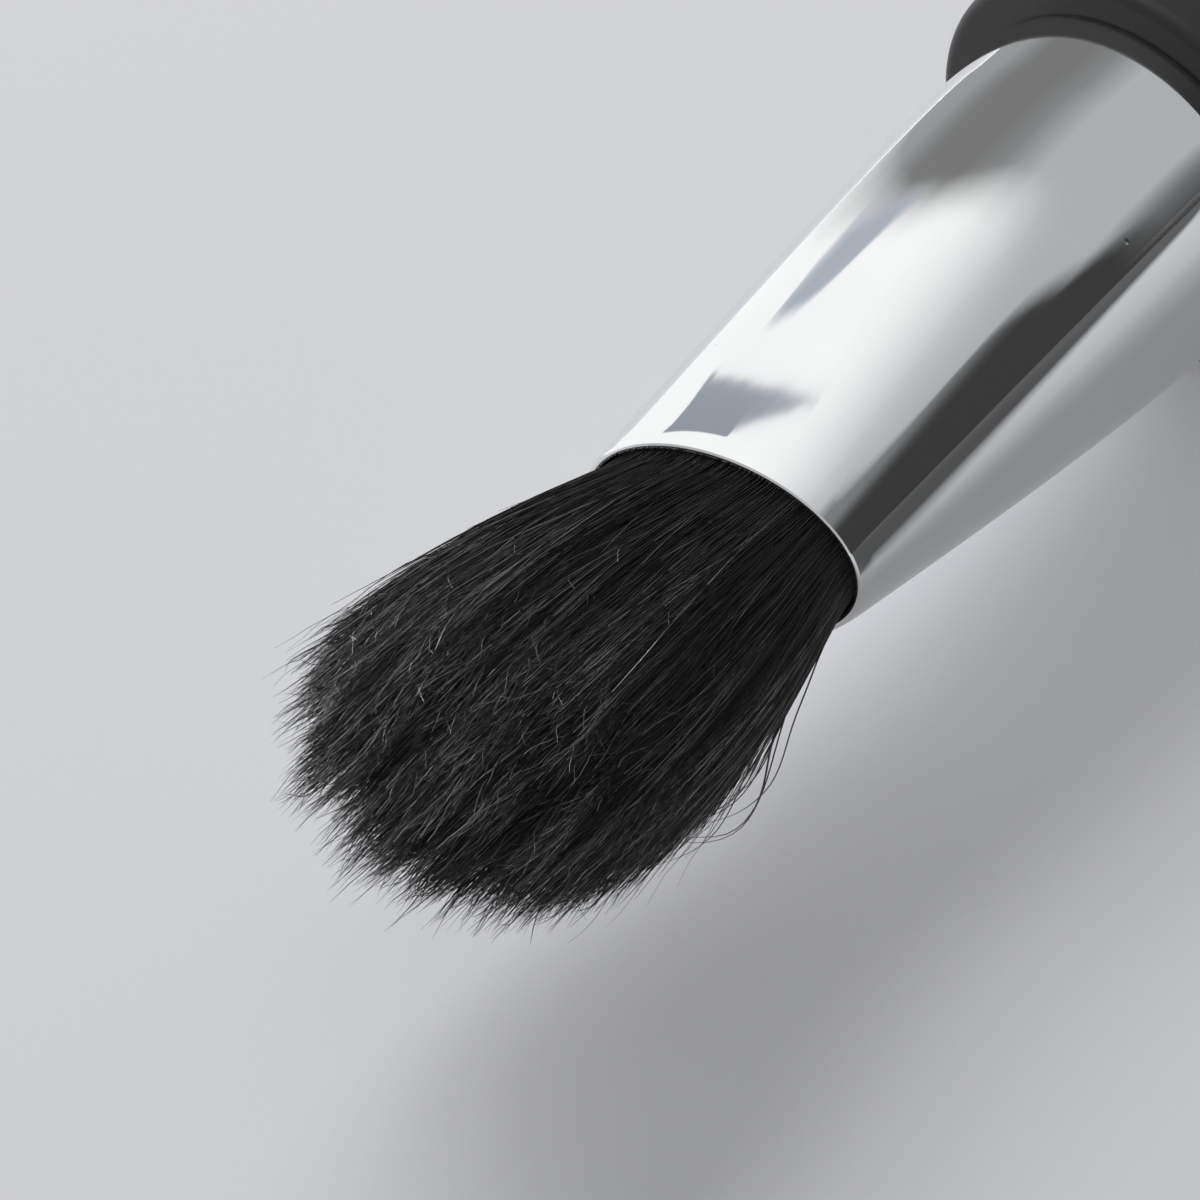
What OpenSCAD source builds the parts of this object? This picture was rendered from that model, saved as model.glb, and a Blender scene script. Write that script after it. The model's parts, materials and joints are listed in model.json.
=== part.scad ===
// Eyeshadow brush: a turned handle, a formed metal ferrule and a domed tuft of soft hair.
// It lies on a flat surface along X with its tip towards +X, broad faces up and down.
// Millimetres. Inside the modules the brush stands on its tail, with its axis along +Z,
// its thin way along X and its broad way along Y. The module laid() lays it down.

/* [Handle] */
// Length of the wooden handle, from its tail to the face that meets the ferrule
handle_len = 142; // [90:1:200]
// Diameter of the handle's widest part, the straight band behind the ferrule
belly_d = 11.3; // [10:0.1:16]
// Length of that straight band, where a holder's ring or clip goes
band_len = 8; // [4:0.5:20]
// Radius of the rounded edge between the band and the front face
shoulder_round = 0.9; // [0.3:0.1:1.1]
// Diameter of the handle just before its rounded tail
tail_d = 4.4; // [3:0.1:7]
// Length of the rounded tail
tail_round = 2.6; // [1:0.1:6]
// How late the handle swells towards its belly, where 1 is an even cone
swell = 1.8; // [1.1:0.1:2.2]

/* [Tenon] */
// Length of the peg that the ferrule is glued on
tenon_len = 6; // [3:0.5:8]
// Chamfer at the peg's front edge
tenon_chamfer = 0.4; // [0.1:0.1:0.8]
// Thickness of the glue between the peg and the ferrule
glue_film = 0.16; // [0.1:0.01:0.25]
// Length of the glue, measured from the handle's front face
glue_len = 2.2; // [1:0.1:2.4]

/* [Ferrule] */
// Length of the ferrule
ferrule_len = 16.2; // [14:0.1:26]
// Outside diameter of the ferrule where it meets the handle
ferrule_d = 9; // [8:0.1:9.8]
// Length of the ferrule that stays round, at its back
round_len = 2.4; // [2.4:0.1:5]
// Outside width of the flattened mouth
mouth_width = 8.5; // [7:0.1:9]
// Outside thickness of the flattened mouth
mouth_thick = 5.2; // [4.4:0.1:8]
// Thickness of the metal
ferrule_wall = 0.3; // [0.2:0.05:0.4]
// How far the lip is drawn in at the mouth
lip_draw = 0.16; // [0.05:0.01:0.3]
// Length over which the lip is drawn in
lip_len = 1; // [0.5:0.1:2]

/* [Hair] */
// Length of the hair outside the ferrule
hair_len = 12.4; // [9:0.1:18]
// Width of the tuft at its widest
tuft_width = 11.3; // [9:0.1:16]
// Thickness of the tuft at its thickest
tuft_thick = 8; // [6:0.1:12]
// Distance from the mouth at which the tuft is at its widest
flare_len = 9.5; // [5:0.1:12]
// Share of its length by which the outermost hair is shorter than the middle
dome_share = 0.27; // [0.1:0.01:0.4]
// Rings of strands in the tuft, which grow to 3 * rings * (rings + 1) strands
strand_rings = 12; // [10:1:12]

/* [Root] */
// Thickness of the packed slice from which the strands grow
slice_len = 1.2; // [0.6:0.1:2]
// Depth of that slice's face below the lip
slice_depth = 0.25; // [0.1:0.05:0.6]
// Length of the resin plug that sets the hair roots
plug_len = 2.4; // [1.2:0.1:3.5]
// Space between the plug and the front of the peg
plug_space = 0.6; // [0.2:0.1:0.9]
// Length of the thread binding round the roots
binding_len = 1.5; // [0.8:0.1:2]
// Thickness of the thread binding
binding_thick = 0.35; // [0.2:0.05:0.5]
// Space between the binding and the plug
binding_back = 0.5; // [0.2:0.1:0.8]

/* [Hidden] */

// Clearance between neighbours inside the ferrule
fit_gap = 0.03;
// Sides of the ferrule and of everything that is packed into it
sides = 48;
// Smoothness of turned shapes
round_fn = 96;
// Steps along the handle's swell, round a small arc, and along the ferrule's taper
swell_steps = 22;
arc_steps = 6;
taper_steps = 9;
lip_steps = 4;

belly_r = belly_d / 2;
tail_r = tail_d / 2;
ferrule_r = ferrule_d / 2;
bore_r = ferrule_r - ferrule_wall;
// Radius that clears the flats of the ferrule's bore
bore_flat_r = bore_r * cos(180 / sides) - fit_gap;
band_start = handle_len - shoulder_round - band_len;
mouth_at = handle_len + ferrule_len;
brush_len = mouth_at + hair_len;

// Outline of the handle as pairs of radius and place along it, from tail to front face
tail_outline = [
    for (i = [0:arc_steps])
        let (a = 90 * i / arc_steps)
            [tail_r * sin(a), tail_round * (1 - cos(a))]
];
swell_outline = [
    for (i = [1:swell_steps])
        let (u = i / swell_steps)
            [
                tail_r + (belly_r - tail_r) * (1 - cos(180 * pow(u, swell))) / 2,
                tail_round + (band_start - tail_round) * u
            ]
];
shoulder_outline = [
    for (i = [0:arc_steps])
        let (a = 90 * i / arc_steps)
            [
                belly_r - shoulder_round * (1 - cos(a)),
                handle_len - shoulder_round * (1 - sin(a))
            ]
];
body_outline = concat(tail_outline, swell_outline, shoulder_outline);

// The brush rests on its tail and its belly, which sets the tilt of its axis
tail_touch = tail_outline[arc_steps];
tilt = atan(max([for (p = swell_outline) (p[0] - tail_touch[0]) / (p[1] - tail_touch[1])]));
lowest = min([for (p = body_outline) p[1] * sin(tilt) - p[0] * cos(tilt)]);

// How the ferrule's section goes from the mouth's oval, 0, to round, 1, at depth t
taper_power = 1.35;
taper_len = ferrule_len - round_len;
function roundness(t) = 1 - pow(max(1 - t / taper_len, 0), taper_power);
function half_thick(t) =
    mouth_thick / 2 + (ferrule_r - mouth_thick / 2) * roundness(t);
function half_width(t) =
    mouth_width / 2 + (ferrule_r - mouth_width / 2) * roundness(t);
function drawn_in(t) = lip_draw * pow(max(1 - t / lip_len, 0), 2);

// One oval ring of the ferrule's section at depth t, drawn in by inset
function oval(t, inset) = [
    for (i = [0:sides - 1])
        let (a = 360 * i / sides)
            [
                (half_thick(t) - inset) * cos(a),
                (half_width(t) - inset) * sin(a),
                mouth_at - t
            ]
];

// The peg's radius, worked out from the bore at both of its ends
tenon_back_r = bore_flat_r - glue_film;
tenon_front_t = ferrule_len - tenon_len;
tenon_front_r = min(
    half_thick(tenon_front_t) - ferrule_wall - glue_film,
    half_width(tenon_front_t) - ferrule_wall - glue_film,
    tenon_back_r
);
function tenon_r(l) = tenon_back_r + (tenon_front_r - tenon_back_r) * l / tenon_len;

// What lies inside the ferrule, by its depth below the lip
slice_back = slice_depth + slice_len;
plug_back = tenon_front_t - plug_space;
plug_front = plug_back - plug_len;
binding_from = plug_front - binding_back - binding_len;
binding_to = plug_front - binding_back;

// Half sizes of the packed hair at the lip
root_x = half_thick(0) - lip_draw - ferrule_wall - fit_gap;
root_y = half_width(0) - lip_draw - ferrule_wall - fit_gap;

module laid() {
    translate([-brush_len * cos(tilt) / 2, 0, -lowest])
        rotate([0, 90 - tilt, 0])
            children();
}

// Faces of a stack of equal rings, closed by flat ends
function stack_faces(rings, n) = concat(
    [
        for (i = [0:rings - 2]) for (j = [0:n - 1]) each [
            [i * n + j, (i + 1) * n + j, (i + 1) * n + (j + 1) % n],
            [i * n + j, (i + 1) * n + (j + 1) % n, i * n + (j + 1) % n]
        ]
    ],
    [[for (j = [0:n - 1]) j]],
    [[for (j = [n - 1:-1:0]) (rings - 1) * n + j]]
);

// Faces of a ring of rings, such as a tube's wall that turns over at both ends
function loop_faces(rings, n) = [
    for (i = [0:rings - 1]) for (j = [0:n - 1])
        let (a = i * n, b = ((i + 1) % rings) * n, k = (j + 1) % n)
            each [[a + j, b + j, b + k], [a + j, b + k, a + k]]
];

// A solid through ovals, given as pairs of depth and inset, deepest first
module oval_stack(stations) {
    polyhedron(
        points = [for (s = stations) each oval(s[0], s[1])],
        faces = stack_faces(len(stations), sides)
    );
}

// Turned wood: tail, swelling body, straight band, rounded shoulder and glued peg
module handle() {
    peg = [
        [tenon_r(0), handle_len],
        [tenon_r(tenon_len - tenon_chamfer), handle_len + tenon_len - tenon_chamfer],
        [tenon_front_r - tenon_chamfer, handle_len + tenon_len],
        [0, handle_len + tenon_len]
    ];
    color([0.1, 0.1, 0.1])
        laid()
            rotate_extrude($fn = round_fn)
                polygon(concat(body_outline, peg));
}

// Film of glue in the round back of the ferrule
module tenon_glue() {
    color([0.85, 0.78, 0.55])
        laid()
            rotate_extrude($fn = round_fn)
                polygon([
                    [tenon_r(0) + fit_gap, handle_len],
                    [bore_flat_r, handle_len],
                    [bore_flat_r, handle_len + glue_len],
                    [tenon_r(glue_len) + fit_gap, handle_len + glue_len]
                ]);
}

// Drawn aluminium tube: round at its back, flattened to an oval, with a drawn-in lip
module ferrule() {
    lip_r = ferrule_wall / 2;
    walls = concat(
        [ferrule_len],
        [for (i = [0:taper_steps]) taper_len + (lip_len - taper_len) * i / taper_steps],
        [for (i = [1:lip_steps]) lip_len + (lip_r - lip_len) * i / lip_steps]
    );
    last = len(walls) - 1;
    outer = [for (t = walls) [t, drawn_in(t)]];
    lip = [
        for (i = [1:arc_steps - 1])
            let (a = 180 * i / arc_steps)
                [lip_r * (1 - sin(a)), drawn_in(lip_r) + lip_r * (1 - cos(a))]
    ];
    inner = [for (i = [last:-1:0]) [walls[i], drawn_in(walls[i]) + ferrule_wall]];
    profile = concat(outer, lip, inner);
    color([0.8, 0.81, 0.82])
        laid()
            polyhedron(
                points = [for (p = profile) each oval(p[0], p[1])],
                faces = loop_faces(len(profile), sides)
            );
}

// Resin that sets the ends of the hair
module epoxy_plug() {
    inset = ferrule_wall + fit_gap;
    color([0.9, 0.85, 0.7])
        laid()
            oval_stack([for (t = [plug_back, plug_front]) [t, inset]]);
}

// Hair packed inside the ferrule, necked where the thread holds it
module root_bundle() {
    full = ferrule_wall + fit_gap;
    neck = full + binding_thick + fit_gap;
    color([0.16, 0.15, 0.15])
        laid()
            oval_stack([
                [plug_front, full],
                [binding_to, full],
                [binding_to, neck],
                [binding_from, neck],
                [binding_from, full],
                [slice_back, full + drawn_in(slice_back)]
            ]);
}

// Thread wound round the roots before they go into the ferrule
module root_binding() {
    outside = ferrule_wall + fit_gap;
    inside = outside + binding_thick;
    stations = [
        [binding_to - fit_gap, outside],
        [binding_from + fit_gap, outside],
        [binding_from + fit_gap, inside],
        [binding_to - fit_gap, inside]
    ];
    color([0.93, 0.92, 0.88])
        laid()
            polyhedron(
                points = [for (s = stations) each oval(s[0], s[1])],
                faces = loop_faces(len(stations), sides)
            );
}

// The tuft's plate is a disc of triangles in rings: ring k has 6 * k points.
// Every triangle with its base on the outer side of its ring grows one strand of
// three sides, and the triangles between them stay as the floor between the strands.
neck_share = 0.86;
middle_share = 0.62;
neck_up = 0.45;
middle_up = 6.2;
ragged_share = 0.09;
tip_stray_share = 0.3;

function ring_index(k, m) = k == 0 ? 0 : 1 + 3 * k * (k - 1) + m % (6 * k);
function disc_point(k, m) = k / strand_rings * [cos(60 * m / max(k, 1)), sin(60 * m / max(k, 1))];
// An even scatter from 0 to 1 for strand number i
function scatter(i, step_share) = i * step_share - floor(i * step_share);
// Half sizes of the tuft at height h above the slice's face
function flare(h) = 1 - pow(1 - min(max(h / flare_len, 0), 1), 2);
function tuft_x(h) = root_x + (tuft_thick / 2 - root_x) * flare(h);
function tuft_y(h) = root_y + (tuft_width / 2 - root_y) * flare(h);
function tuft_point(p, h) = [tuft_x(h) * p[0], tuft_y(h) * p[1], mouth_at + h];

strand_cells = [
    for (k = [1:strand_rings]) for (q = [0:5]) for (j = [0:k - 1])
        [[k, q * k + j], [k, q * k + j + 1], [k - 1, q * (k - 1) + j]]
];
floor_cells = [
    for (k = [2:strand_rings]) for (q = [0:5]) for (j = [0:k - 2])
        [
            ring_index(k - 1, q * (k - 1) + j),
            ring_index(k - 1, q * (k - 1) + j + 1),
            ring_index(k, q * k + j + 1)
        ]
];

// Seven points of a strand: its neck, its middle and its tip
function strand_points(cell, i) =
    let (
        corners = [for (c = cell) disc_point(c[0], c[1])],
        heart = (corners[0] + corners[1] + corners[2]) / 3,
        ragged = ragged_share * (cell[0][0] == 1 ? 0 : scatter(i, 0.618)),
        tip_h = hair_len * (1 - dome_share * heart * heart) * (1 - ragged),
        stray = [scatter(i, 0.755) - 0.5, scatter(i, 0.57) - 0.5] / strand_rings,
        tip = heart + tip_stray_share * stray
    )
    concat(
        [for (c = corners) tuft_point(heart + neck_share * (c - heart), neck_up)],
        [for (c = corners) tuft_point(heart + middle_share * (c - heart), middle_up)],
        [tuft_point(tip, tip_h)]
    );

// Faces of a strand from its three plate corners up to its tip
function strand_faces(base, first) =
    let (neck = [0, 1, 2] + [1, 1, 1] * first, middle = neck + [3, 3, 3])
    [
        for (e = [0:2])
            let (f = (e + 1) % 3)
                each [
                    [base[e], neck[e], neck[f]],
                    [base[e], neck[f], base[f]],
                    [neck[e], middle[e], middle[f]],
                    [neck[e], middle[f], neck[f]],
                    [middle[e], first + 6, middle[f]]
                ]
    ];

// Soft hair outside the ferrule, on a slice of its packed root
module hair_tuft() {
    edge = 6 * strand_rings;
    plate = [
        for (k = [0:strand_rings]) for (m = [0:max(6 * k - 1, 0)])
            let (p = disc_point(k, m))
                [root_x * p[0], root_y * p[1], mouth_at - slice_depth]
    ];
    under = [
        for (m = [0:edge - 1])
            let (p = disc_point(strand_rings, m))
                [root_x * p[0], root_y * p[1], mouth_at - slice_back]
    ];
    under_at = len(plate);
    heart_at = under_at + edge;
    rim_at = under_at - edge;
    strands_at = heart_at + 1;
    points = concat(
        plate,
        under,
        [[0, 0, mouth_at - slice_back]],
        [for (i = [0:len(strand_cells) - 1]) each strand_points(strand_cells[i], i)]
    );
    faces = concat(
        floor_cells,
        [
            for (m = [0:edge - 1])
                let (n = (m + 1) % edge)
                    each [
                        [under_at + m, rim_at + m, rim_at + n],
                        [under_at + m, rim_at + n, under_at + n],
                        [heart_at, under_at + m, under_at + n]
                    ]
        ],
        [
            for (i = [0:len(strand_cells) - 1])
                each strand_faces(
                    [for (c = strand_cells[i]) ring_index(c[0], c[1])],
                    strands_at + 7 * i
                )
        ]
    );
    color([0.13, 0.13, 0.13])
        laid()
            polyhedron(points = points, faces = faces);
}

handle();
tenon_glue();
ferrule();
epoxy_plug();
root_bundle();
root_binding();
hair_tuft();
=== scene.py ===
# %% [markdown]
# # A soft eyeshadow brush, seen from close by
# The brush lies on a pale table with its tuft towards the camera. It has a turned black
# handle, a polished aluminium ferrule that is pressed from round to oval, and a domed tuft
# of fine black hair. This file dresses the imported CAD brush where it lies, with finer
# shapes and with real finishes. The ferrule here is up to 0.16 mm wider than the packed
# one, with a thinner wall, and the handle's front edge is sharper.

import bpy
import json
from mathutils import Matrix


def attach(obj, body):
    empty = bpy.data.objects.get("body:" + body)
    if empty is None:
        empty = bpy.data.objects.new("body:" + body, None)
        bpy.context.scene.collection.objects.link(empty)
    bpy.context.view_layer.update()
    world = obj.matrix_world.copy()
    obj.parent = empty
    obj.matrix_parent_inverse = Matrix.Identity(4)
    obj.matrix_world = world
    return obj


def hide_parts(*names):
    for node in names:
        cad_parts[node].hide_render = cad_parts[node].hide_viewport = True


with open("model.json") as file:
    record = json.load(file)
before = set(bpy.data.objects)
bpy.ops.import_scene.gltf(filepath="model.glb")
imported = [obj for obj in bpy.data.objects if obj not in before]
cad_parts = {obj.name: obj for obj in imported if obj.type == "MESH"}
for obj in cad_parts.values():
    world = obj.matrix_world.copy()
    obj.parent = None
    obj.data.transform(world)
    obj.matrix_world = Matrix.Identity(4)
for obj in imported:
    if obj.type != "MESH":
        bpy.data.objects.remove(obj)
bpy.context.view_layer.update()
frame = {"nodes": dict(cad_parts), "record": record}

# %% [markdown]
# ## Where the brush is
# A brush is easiest to think of in its own directions: along its axis from the mouth of
# the ferrule, across its broad side, and up through its thin side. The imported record
# names a straight band on the handle with its place and axis. From that band one matrix
# is worked out, which lays any shape made in the brush's own millimetres where the CAD
# brush lies. The same matrix then serves every piece, so none can drift from the others.

# %% The brush's own directions
import json
import math

import bmesh
import bpy
from mathutils import Matrix, Vector

MM = 0.001
BAND_TO_MOUTH = 21.1
band = frame["record"]["mounts"][0]
forward = -Vector(band["axis"]).normalized()
tilt = math.asin(forward.z)
mouth = Vector(band["pos_m"]) + forward * BAND_TO_MOUTH * MM
turned = Matrix.Rotation(-tilt, 4, "Y")
LAY = Matrix.Translation(mouth) @ turned @ Matrix.Scale(MM, 4)
print("tilt in degrees", round(math.degrees(tilt), 3), "mouth in mm", [round(v / MM, 2) for v in mouth])

# %% [markdown]
# ## The camera
# The picture is a close view with a long lens, from in front of the tuft, to its side and
# above. Its three directions are given in the brush's own axes, so that a lens of 240 mm
# and a distance of 187 mm put the mouth of the ferrule right of the middle of the image.

# %% Place the camera
CAMERA_RIGHT = Vector((-0.6239, 0.7320, -0.2737))
CAMERA_UP = Vector((-0.5618, -0.1766, 0.8082))
CAMERA_BACK = Vector((0.5432, 0.6579, 0.5214))
MOUTH_RIGHT, MOUTH_UP, MOUTH_AWAY = 2.745, 1.323, 187.227

lens = bpy.data.cameras.new("close_view")
lens.lens = 240
lens.sensor_width = 36
lens.clip_start = 0.005
lens.clip_end = 20
camera = bpy.data.objects.new("close_view", lens)
bpy.context.collection.objects.link(camera)
offset = CAMERA_BACK * MOUTH_AWAY - CAMERA_RIGHT * MOUTH_RIGHT - CAMERA_UP * MOUTH_UP
axes = Matrix((CAMERA_RIGHT, CAMERA_UP, CAMERA_BACK)).transposed().to_4x4()
stance = turned @ axes
stance.translation = LAY @ offset
camera.matrix_world = stance
bpy.context.scene.camera = camera
print("camera at", [round(v, 4) for v in camera.location])

# %% [markdown]
# ## Writing node trees as sums
# Blender's materials and its Geometry Nodes are both trees of nodes. Written out link by
# link they hide the thought behind them. Here a Wire wraps one output, and sums such as
# 1 - mask * 0.3 add the Math nodes by themselves. Every other kind of node comes from one
# method of the Bench, which takes its settings first and its sockets after.

# %% Wires and the bench that makes them
def sum_of(operation, swapped=False):
    """A method for one operator, swapped for the form with the number in front."""
    def method(self, other):
        pair = (other, self) if swapped else (self, other)
        return self.bench.node("ShaderNodeMath", {"operation": operation}, dict(enumerate(pair)))
    return method


class Wire:
    """One output of a node, ready for use in sums."""
    def __init__(self, bench, made, out=0):
        self.bench = bench
        self.made = made
        named = [s for s in made.outputs if s.enabled and s.name == out]
        open_ones = [s for s in made.outputs if s.enabled]
        self.socket = (named or open_ones or [None])[0]

    __add__ = sum_of("ADD")
    __radd__ = sum_of("ADD", swapped=True)
    __sub__ = sum_of("SUBTRACT")
    __rsub__ = sum_of("SUBTRACT", swapped=True)
    __mul__ = sum_of("MULTIPLY")
    __rmul__ = sum_of("MULTIPLY", swapped=True)
    __truediv__ = sum_of("DIVIDE")
    __rtruediv__ = sum_of("DIVIDE", swapped=True)
    __pow__ = sum_of("POWER")
    __gt__ = sum_of("GREATER_THAN")

    def __getitem__(self, name):
        return Wire(self.bench, self.made, name)

    def most(self, limit):
        return self.bench.node("ShaderNodeMath", {"operation": "MINIMUM"}, {0: self, 1: limit})

    def least(self, limit):
        return self.bench.node("ShaderNodeMath", {"operation": "MAXIMUM"}, {0: self, 1: limit})

    def rounded_down(self):
        return self.bench.node("ShaderNodeMath", {"operation": "FLOOR"}, {0: self})

    def sine(self):
        return self.bench.node("ShaderNodeMath", {"operation": "SINE"}, {0: self})

    def cosine(self):
        return self.bench.node("ShaderNodeMath", {"operation": "COSINE"}, {0: self})


class Bench:
    """Builds one node tree, for a material or for geometry."""
    def __init__(self, tree):
        self.tree = tree

    def node(self, kind, settings=None, sockets=None, out=0):
        made = self.tree.nodes.new(kind)
        for name, value in (settings or {}).items():
            setattr(made, name, value)
        for name, value in (sockets or {}).items():
            self.join(made, name, value)
        return Wire(self, made, out)

    def join(self, made, name, value):
        fits = [s for s in made.inputs if s.enabled and s.name == name]
        socket = fits[0] if fits else made.inputs[name]
        if isinstance(value, Wire):
            self.tree.links.new(value.socket, socket)
        else:
            socket.default_value = value

    def mixed(self, share, first, second):
        sockets = {"Factor": share, "A": first, "B": second}
        return self.node("ShaderNodeMix", {"data_type": "RGBA"}, sockets, "Result")

    def vector(self, x, y, z):
        return self.node("ShaderNodeCombineXYZ", {}, {"X": x, "Y": y, "Z": z})

    def parts(self, vector):
        return self.node("ShaderNodeSeparateXYZ", {}, {"Vector": vector})


# %% A material with its shader's plain values
def grey(value, warmth=0.0):
    return (value * (1 + warmth), value, value * (1 - warmth), 1)


def start_material(name, **plain):
    """A material, its bench and its shader, with the values that are the same all over."""
    made = bpy.data.materials.new(name)
    made.use_nodes = True
    bench = Bench(made.node_tree)
    shader = made.node_tree.nodes["Principled BSDF"]
    for key, value in plain.items():
        shader.inputs[key.replace("_", " ")].default_value = value
    return made, bench, shader


def stretched(bench, x, y, z):
    """Object coordinates with a scale of their own in each direction."""
    place = bench.node("ShaderNodeTexCoord", out="Object")
    return bench.node("ShaderNodeMapping", {}, {"Vector": place, "Scale": (x, y, z)})


def speckle(bench, place, scale, detail=3.0, rough=0.5):
    sockets = {"Vector": place, "Scale": scale, "Detail": detail, "Roughness": rough}
    return bench.node("ShaderNodeTexNoise", {}, sockets)


def bumped(bench, shader, height, strength, distance):
    sockets = {"Height": height, "Strength": strength, "Distance": distance}
    bench.join(shader, "Normal", bench.node("ShaderNodeBump", {}, sockets))


# %% [markdown]
# ## Satin black lacquer
# The handle is dipped in black lacquer, which dries to a satin skin. A coat like that is
# never quite flat: it has the faint dimples of a sprayed or dipped film, and a few places
# that are a little glossier. Both come from noise on the object's own coordinates, at a
# fraction of a millimetre for the dimples and at several millimetres for the gloss.

# %% Lacquer
lacquer, bench, shader = start_material(
    "satin_black_lacquer", Coat_Roughness=0.35, Specular_IOR_Level=0.5
)
film = stretched(bench, 1, 1, 1)
patches = speckle(bench, film, scale=180, detail=2)
dimples = speckle(bench, film, scale=2600, detail=2)
bench.join(shader, "Base Color", bench.mixed(patches, grey(0.018, 0.03), grey(0.028, 0.03)))
bench.join(shader, "Roughness", 0.36 + patches * 0.12)
bench.join(shader, "Coat Weight", 0.05 + patches * 0.1)
bumped(bench, shader, dimples, strength=0.25, distance=0.00001)

# %% [markdown]
# ## Polished aluminium
# A ferrule is drawn through a die and then polished in a barrel. Drawing leaves hair lines
# along the tube, polishing leaves a soft cloudiness, and handling leaves a few tiny pits.
# The lines are noise that is stretched a hundred times along the brush. The pits are the
# hearts of a fine Voronoi pattern, of which only a few are kept.

# %% Aluminium
aluminium, bench, shader = start_material("polished_aluminium", Metallic=1.0)
LINES_ALONG, LINES_ACROSS = 60, 6000
PIT_CELLS, PITS_FROM, PIT_RADIUS, PIT_DEPTH = 1500, 0.955, 0.12, 8
drawn = stretched(bench, LINES_ALONG, LINES_ACROSS, LINES_ACROSS)
lines = speckle(bench, drawn, scale=1, detail=3, rough=0.6)
clouds = speckle(bench, stretched(bench, 1, 1, 1), scale=420, detail=3)
pattern = {"Vector": stretched(bench, 1, 1, 1), "Scale": PIT_CELLS}
cells = bench.node("ShaderNodeTexVoronoi", {}, pattern)
chosen = bench.node("ShaderNodeSeparateColor", {}, {"Color": cells["Color"]}, "Red") > PITS_FROM
pits = chosen * (PIT_RADIUS - cells["Distance"]).least(0) * PIT_DEPTH
tone = bench.mixed(clouds, (0.86, 0.875, 0.885, 1), (0.92, 0.925, 0.925, 1))
bench.join(shader, "Base Color", bench.mixed(pits, tone, grey(0.16)))
bench.join(shader, "Roughness", 0.02 + clouds * 0.025 + lines * 0.02 + pits * 0.3)
relief = lines * 0.02 + clouds * 0.05 - pits * 6
bumped(bench, shader, relief, strength=0.2, distance=0.000008)

# %% [markdown]
# ## Hair
# The hair of a soft brush takes a nearly black dye, but no two hairs take it alike. Every hair
# carries two numbers from the tree that grows it: hair_tone, which is its own shade, and
# hair_along, which runs from 0 at its root to 1 at its tip. A high power of the shade
# leaves most hairs black and a few pale: partly real pale hairs, partly painted glints of
# light on single hairs. A power of the height keeps the paleness to the tips, where the dye
# wears off first, and there it also paints the light that shines through the fine points.
# A little painted sheen lightens the roots. Noise along each hair adds a few short painted
# glints, pale spots in the colour where light would catch the hair.

# %% Hair material
hair_finish, bench, shader = start_material("soft_black_hair", Specular_IOR_Level=0.28)
own = bench.node("ShaderNodeAttribute", {"attribute_name": "hair_tone"}, out="Fac")
along = bench.node("ShaderNodeAttribute", {"attribute_name": "hair_along"}, out="Fac")
ROOT_PALE, TIP_PALE, ROOT_SHEEN = 0.03, 1.9, 0.045
# Partly real pale hairs, partly painted glints, painted glow at the tips and painted sheen at the roots
pale = own ** 6 * (ROOT_PALE + along ** 4 * TIP_PALE) + (1 - along) * ROOT_SHEEN
dye_and_painted_sheen = bench.mixed(pale, grey(0.008, 0.01), grey(0.4, 0.02))
# Short painted glints: pale spots along each hair where light would catch it
SPOT_ROWS, SPOTS_ALONG, SPOTS_FROM, SPOT_EDGE = 900, 7, 0.42, 7
ROOT_GLINT = 0.08
glint_noise = speckle(bench, bench.vector(own * SPOT_ROWS, along * SPOTS_ALONG, 0.0), scale=1, detail=1)
spots = ((glint_noise - SPOTS_FROM) * SPOT_EDGE).least(0).most(1)
painted_glints = spots * (ROOT_GLINT + along * (1 - ROOT_GLINT)) * own ** 8
bench.join(shader, "Base Color", bench.mixed(painted_glints, dye_and_painted_sheen, grey(0.6, 0.01)))
bench.join(shader, "Roughness", 0.6 - along * 0.3)

# %% [markdown]
# ## What holds the brush together inside
# Behind the lip the hair is packed tight, tied with cotton thread, and set in resin. The
# handle's peg is glued into the back of the ferrule. None of it shows, but the CAD nodes
# are there, and each gets the finish of the real stuff.

# %% Inner materials
packed, bench, shader = start_material("packed_root_hair", Roughness=0.6)
grain = speckle(bench, stretched(bench, 200, 9000, 9000), scale=1, detail=3)
bench.join(shader, "Base Color", bench.mixed(grain, grey(0.004), grey(0.03, 0.04)))
bumped(bench, shader, grain, strength=0.6, distance=0.00005)

resin, bench, shader = start_material("clear_yellow_resin", Roughness=0.2, Specular_IOR_Level=0.5)
haze = speckle(bench, stretched(bench, 1, 1, 1), scale=900, detail=4)
bench.join(shader, "Base Color", bench.mixed(haze, (0.42, 0.3, 0.1, 1), (0.66, 0.52, 0.26, 1)))
bumped(bench, shader, haze, strength=0.2, distance=0.00005)

thread, bench, shader = start_material("waxed_cotton_thread", Roughness=0.75)
winding = bench.node("ShaderNodeTexWave", {"bands_direction": "X"}, {
    "Vector": stretched(bench, 1, 1, 1), "Scale": 1300, "Distortion": 1.0})
bench.join(shader, "Base Color", bench.mixed(winding, (0.55, 0.52, 0.45, 1), (0.84, 0.82, 0.76, 1)))
bumped(bench, shader, winding, strength=0.8, distance=0.00008)

glue, bench, shader = start_material("dried_wood_glue", Roughness=0.5)
beads = speckle(bench, stretched(bench, 1, 1, 1), scale=700, detail=3)
bench.join(shader, "Base Color", bench.mixed(beads, (0.5, 0.4, 0.2, 1), (0.72, 0.64, 0.4, 1)))
bumped(bench, shader, beads, strength=0.3, distance=0.00006)

# %% Put them on the CAD nodes that stay
INSIDE = {"root_bundle": packed, "epoxy_plug": resin, "root_binding": thread, "tenon_glue": glue}
for node_name, finish in INSIDE.items():
    part = frame["nodes"][node_name]
    if not part.material_slots:
        part.data.materials.append(finish)
    for place in part.material_slots:
        place.material = finish
print("finished inside:", ", ".join(INSIDE))

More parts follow.
